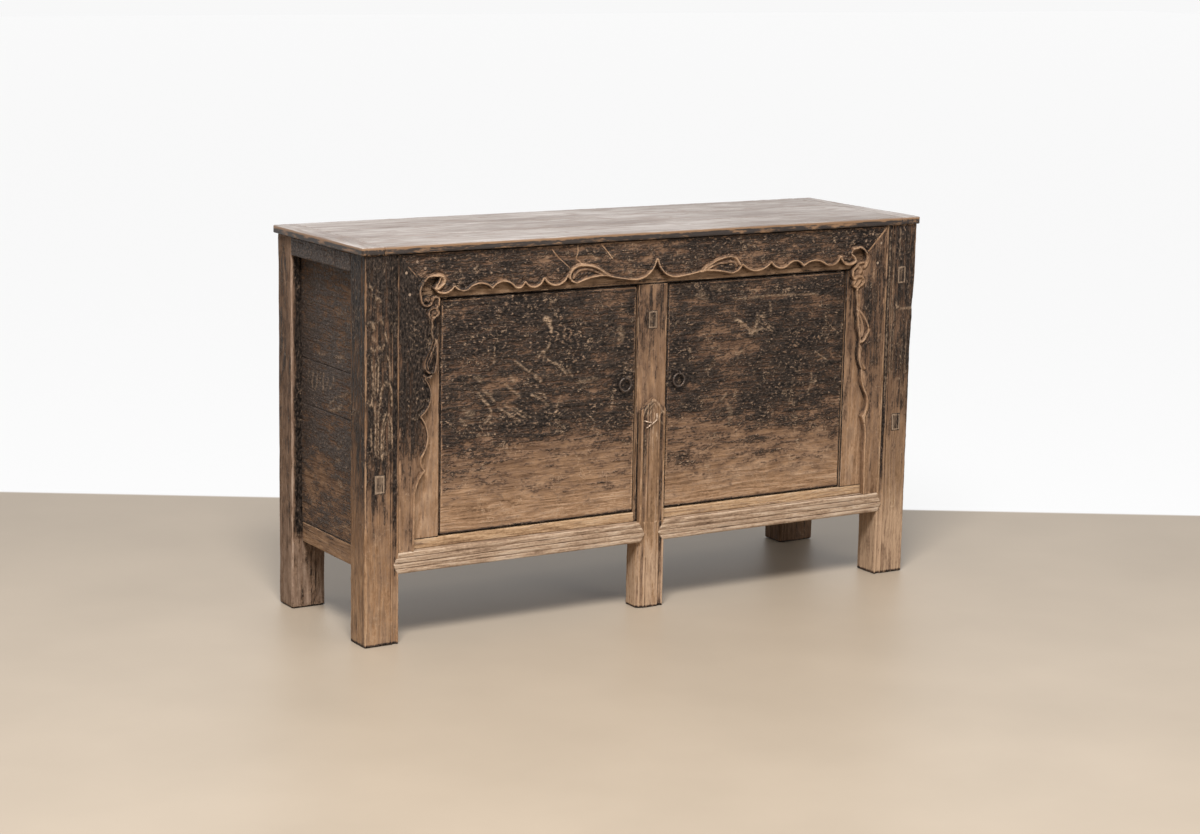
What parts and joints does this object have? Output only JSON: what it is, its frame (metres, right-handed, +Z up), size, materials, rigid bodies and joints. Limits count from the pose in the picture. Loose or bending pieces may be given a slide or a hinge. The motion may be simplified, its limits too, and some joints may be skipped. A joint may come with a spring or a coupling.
{
  "type": "low two-door cabinet",
  "caption": "Low painted elm cabinet with corner-post legs, a carved scalloped apron, plank doors on wooden pivots with iron ring pulls, and a plank top.",
  "frame": {"origin": "on the floor under the middle of the top", "axes": "+X to the viewer's right along the front, -Y out of the front, +Z up"},
  "size_m": [1.447, 0.435, 0.85],
  "materials": {
    "painted_elm": "black-brown lacquer worn through to elm on arrises and low down",
    "weathered_elm": "bare greyed plank, lightly rubbed",
    "raw_elm": "unpainted, sawn",
    "iron": "forged, dark, dull"
  },
  "bodies": {
    "case": {"apron_pegs": "painted_elm", "back_board_1": "raw_elm", "back_board_2": "raw_elm", "back_board_3": "raw_elm", "back_board_4": "raw_elm", "back_bottom_rail": "raw_elm", "back_top_rail": "raw_elm", "centre_leg": "painted_elm", "centre_stile": "painted_elm", "floor_bearer_centre": "raw_elm", "floor_bearer_left": "raw_elm", "floor_bearer_right": "raw_elm", "floor_board_back": "raw_elm", "floor_board_front": "raw_elm", "floor_board_middle": "raw_elm", "head_rail": "painted_elm", "left_apron": "painted_elm", "left_back_post": "painted_elm", "left_bottom_rail": "painted_elm", "left_end_cap": "weathered_elm", "left_front_post": "painted_elm", "left_inner_stile": "painted_elm", "left_side_board_lower": "painted_elm", "left_side_board_middle": "painted_elm", "left_side_board_upper": "painted_elm", "left_side_bottom_rail": "painted_elm", "left_side_top_rail": "painted_elm", "left_sill": "painted_elm", "left_top_batten": "raw_elm", "patch_plugs": "painted_elm", "right_apron": "painted_elm", "right_back_post": "painted_elm", "right_bottom_rail": "painted_elm", "right_end_cap": "weathered_elm", "right_front_post": "painted_elm", "right_inner_stile": "painted_elm", "right_side_board_lower": "painted_elm", "right_side_board_middle": "painted_elm", "right_side_board_upper": "painted_elm", "right_side_bottom_rail": "painted_elm", "right_side_top_rail": "painted_elm", "right_sill": "painted_elm", "right_top_batten": "raw_elm", "top_apron": "painted_elm", "top_board_back": "weathered_elm", "top_board_front": "weathered_elm", "top_board_middle": "weathered_elm"},
    "left_door": {"left_door": "painted_elm", "left_door_batten_hinge": "raw_elm", "left_door_batten_latch": "raw_elm", "left_door_pivots": "raw_elm", "left_pull_eye": "iron"},
    "right_door": {"right_door": "painted_elm", "right_door_batten_hinge": "raw_elm", "right_door_batten_latch": "raw_elm", "right_door_pivots": "raw_elm", "right_pull_eye": "iron"},
    "left_ring": {"left_pull_ring": "iron"},
    "right_ring": {"right_pull_ring": "iron"}
  },
  "joints": [
    {"name": "left_door_swing", "type": "hinge", "parent": "case", "child": "left_door", "pos_m": [-0.515, -0.1835, 0.4755], "axis": [0, 0, -1], "range_deg": [0, 100]},
    {"name": "right_door_swing", "type": "hinge", "parent": "case", "child": "right_door", "pos_m": [0.515, -0.1835, 0.4755], "axis": [0, 0, 1], "range_deg": [0, 100]},
    {"name": "left_ring_swing", "type": "hinge", "parent": "left_door", "child": "left_ring", "pos_m": [-0.0705, -0.2007, 0.52635], "axis": [-1, 0, 0], "range_deg": [-5, 150]},
    {"name": "right_ring_swing", "type": "hinge", "parent": "right_door", "child": "right_ring", "pos_m": [0.0705, -0.2007, 0.52635], "axis": [-1, 0, 0], "range_deg": [-5, 150]}
  ]
}
